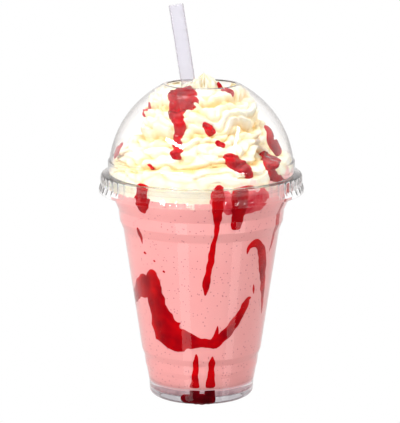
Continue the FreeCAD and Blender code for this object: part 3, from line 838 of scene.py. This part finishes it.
def shake_finish():
    """Pink with fine specks, ivory where cream melts into it, and a painted glow on its underside."""
    finish = new_finish("strawberry shake")
    cloud = finish.noise(60.0, 3.0)
    pink = finish.blend(cloud, (0.97, 0.50, 0.48), (0.95, 0.43, 0.42))
    cells = {"Vector": finish.place(), "Scale": 560.0}
    near = finish.node("ShaderNodeTexVoronoi", {}, cells)
    chosen = finish.node("ShaderNodeTexVoronoi", {}, cells, output=1)
    speck = (near < 0.2) * (chosen > 0.4)
    colour = finish.blend(speck * 0.55, pink, (0.48, 0.08, 0.12))
    level = finish.node("ShaderNodeSeparateXYZ", {}, {0: finish.place()}, output=2)
    melting = (level - (DRINK_LEVEL - 0.5) * MM) * 300.0 + (finish.noise(170.0, 3.0) - 0.5) * 5.0
    melted = finish.ramp(melting, [(0.3, (0, 0, 0)), (0.7, (1, 1, 1))])
    colour = finish.blend(melted, colour, IVORY)
    # painted light: the drink's underside glows, standing in for light that the thick foot bends onto
    # it
    painted_foot_glow = finish.ramp(
        (level - FLOOR_HEIGHT * MM) * 500.0, [(0.5, (0.26, 0.23, 0.25)), (0.9, (0, 0, 0))],
    )
    return finish.surface(finish.node("ShaderNodeBsdfPrincipled", {}, {
        "Base Color": colour, "Roughness": 0.5, "Specular IOR Level": 0.2,
        "Emission Color": painted_foot_glow, "Emission Strength": 1.0,
    }))


def cream_finish():
    """Ivory with painted shade in its hollows, darker and yellower there, and stained pink low down on
    the right.
    """
    finish = new_finish("whipped cream")
    hollow = finish.node("ShaderNodeAttribute", {"attribute_name": "hollow"}, output=2)
    # painted shade: the hollows are coloured darker and yellower than the ivory
    colour = finish.ramp(
        hollow, [(0.12, IVORY), (0.5, (0.93, 0.82, 0.58)), (0.95, (0.84, 0.62, 0.28))],
    )
    level = finish.node("ShaderNodeSeparateXYZ", {}, {0: finish.place()}, output=2)
    across = finish.node("ShaderNodeSeparateXYZ", {}, {0: finish.place()})
    stained = (CREAM_CENTRE * MM - level) * 130.0 + (finish.noise(140.0, 2.0) - 0.5) * 4.0
    stained = stained + (across - 0.018) * 45.0
    stain = finish.ramp(stained, [(0.35, (0, 0, 0)), (0.9, (1, 1, 1))])
    colour = finish.blend(stain, colour, (0.95, 0.52, 0.50))
    grain = finish.noise(1400.0, 3.0, 0.6)
    bump = finish.node("ShaderNodeBump", {}, {"Strength": 0.3, "Distance": 0.0004, "Height": grain})
    return finish.surface(finish.node("ShaderNodeBsdfPrincipled", {}, {
        "Base Color": colour, "Roughness": 0.6, "Normal": bump, "Subsurface Weight": 0.25,
        "Subsurface Radius": (0.003, 0.0022, 0.0014), "Subsurface Scale": 0.5,
        "Specular IOR Level": 0.2,
    }))


def syrup_finish(name, thin, thick, coat=0.0, gloss=0.0):
    """Wet syrup, from the thin colour at its edges to the thick one in its middle."""
    finish = new_finish(name)
    depth = finish.node("ShaderNodeAttribute", {"attribute_name": "depth"}, output=2)
    pool = finish.noise(150.0, 2.0)
    colour = finish.ramp(depth * 0.3 + pool * 0.9, [(0.50, thin), (0.85, thick)])
    return finish.surface(finish.node("ShaderNodeBsdfPrincipled", {}, {
        "Base Color": colour, "Roughness": 0.14, "IOR": 1.4, "Specular IOR Level": gloss,
        "Coat Weight": coat, "Coat Roughness": 0.05,
    }))


dress([shake], shake_finish())
dress([cream], cream_finish())
dress(wall_syrup, syrup_finish("syrup on the wall", (0.64, 0.001, 0.004), (0.34, 0.0, 0.005)))
dress(pool, syrup_finish("syrup pool", (0.20, 0.0, 0.005), (0.08, 0.0, 0.002)))
dress(veil, syrup_finish("syrup veil", (0.88, 0.17, 0.18), (0.66, 0.03, 0.05)))
dress(cream_syrup + dome_syrup, syrup_finish(
    "syrup on the cream", (0.52, 0.001, 0.005), (0.24, 0.0, 0.005), coat=0.6, gloss=0.5,
))

# %% [markdown]
# ## Floor, light and camera
# The object stands on a white floor in a white room, and what is seen directly or through the
# plastic is pure white. The light itself is gentler and comes from one side, so that the cream
# keeps its shading, and what the plastic mirrors is dark, so that it shows as thin outlines and
# small crisp highlights. Light Path nodes in the world and the floor tell these rays apart. The
# key and fill lamps are long narrow softboxes, which the dome mirrors as short streaks. Two more
# hang low in front, under the level of the floor: they light nothing that shows, but the tumbler's wall
# mirrors them as its two pale upright bands.

# %% Floor
def seen_directly(finish):
    """1 for rays that have bounced off nothing yet, 0 after that."""
    bounces = finish.light_path("Diffuse Depth") + finish.light_path("Glossy Depth")
    return bounces < 0.5


def white_level(finish):
    """The white's grey value: more behind plastic, whose faces each keep a little of it back."""
    return 1.0 + 0.06 * finish.light_path("Transmission Depth") * seen_directly(finish)


floor_mesh = bmesh.new()
bmesh.ops.create_grid(floor_mesh, x_segments=1, y_segments=1, size=6.0)
floor = mesh_object("floor", floor_mesh)
floor.visible_glossy = False
finish = new_finish("white floor")
white = finish.node("ShaderNodeEmission", {}, {
    "Color": white_level(finish), "Strength": 1.0,
})
painted = finish.node("ShaderNodeBsdfDiffuse", {}, {"Color": (0.92, 0.92, 0.92, 1)})
floor.data.materials.append(finish.surface(finish.node(
    "ShaderNodeMixShader", {}, {0: seen_directly(finish), 1: painted, 2: white},
)))

print("floor of white, which lamps light and plastic doesn't mirror")

# %% Room
scene = bpy.context.scene
scene.world = bpy.data.worlds.new("white studio")
finish = Finish(scene.world)
behind = finish.node("ShaderNodeSeparateXYZ", {}, {0: finish.place()}, output=1)
room = finish.ramp(behind * 0.5 + 0.5, [
    (0.35, (0.07, 0.05, 0.05)), (0.60, (0.45, 0.43, 0.42)), (0.85, (0.95, 0.95, 0.95)),
])
around = finish.blend(finish.light_path("Glossy Depth") > 0.5, (0.44, 0.44, 0.45), room)
finish.surface(finish.node("ShaderNodeBackground", {}, {
    "Color": finish.blend(seen_directly(finish), around, white_level(finish)),
    "Strength": 1.0,
}))
scene.view_settings.view_transform = "Standard"
print("room:", scene.world.name)

# %% Lamps
def soft_lamp(name, place, aim, size, power, roll=0.0):
    lamp = bpy.data.lights.new(name, "AREA")
    lamp.shape = "RECTANGLE"
    lamp.size, lamp.size_y = size
    lamp.energy = power
    holder = bpy.data.objects.new(name, lamp)
    scene.collection.objects.link(holder)
    holder.location = place
    turn = (Vector(aim) - Vector(place)).to_track_quat("-Z", "Y")
    holder.rotation_euler = (turn @ Quaternion((0, 0, 1), math.radians(roll))).to_euler()
    return holder


middle = Vector((0, 0, 0.1))  # of the object, where every lamp points
soft_lamp("key", (-0.68, -0.78, 0.90), middle, (0.08, 0.60), 9.0, roll=78)
soft_lamp("fill", (0.84, -0.55, 0.94), middle, (0.06, 0.70), 4.6, roll=-48)
soft_lamp("top", (0.0, 0.2, 1.3), middle, (0.9, 0.9), 2.5).visible_glossy = False
soft_lamp("left band", (-0.42, -0.77, -0.38), middle, (0.26, 0.6), 0.8)
soft_lamp("right band", (0.75, -0.49, -0.36), middle, (0.24, 0.6), 0.7)

# %% Camera
CAMERA_PLACE = Vector((0, -0.950, 0.2835))
CAMERA_AIM = Vector((-0.0007, 0, 0.0923))
camera_data = bpy.data.cameras.new("camera")
camera_data.lens = 166.05
camera_data.sensor_width = 36.0
camera = bpy.data.objects.new("camera", camera_data)
scene.collection.objects.link(camera)
camera.location = CAMERA_PLACE
camera.rotation_euler = (CAMERA_AIM - CAMERA_PLACE).to_track_quat("-Z", "Y").to_euler()
scene.camera = camera
print("camera looks down", round(math.degrees(math.atan2(
    CAMERA_PLACE.z - CAMERA_AIM.z, CAMERA_AIM.y - CAMERA_PLACE.y)), 1), "degrees")
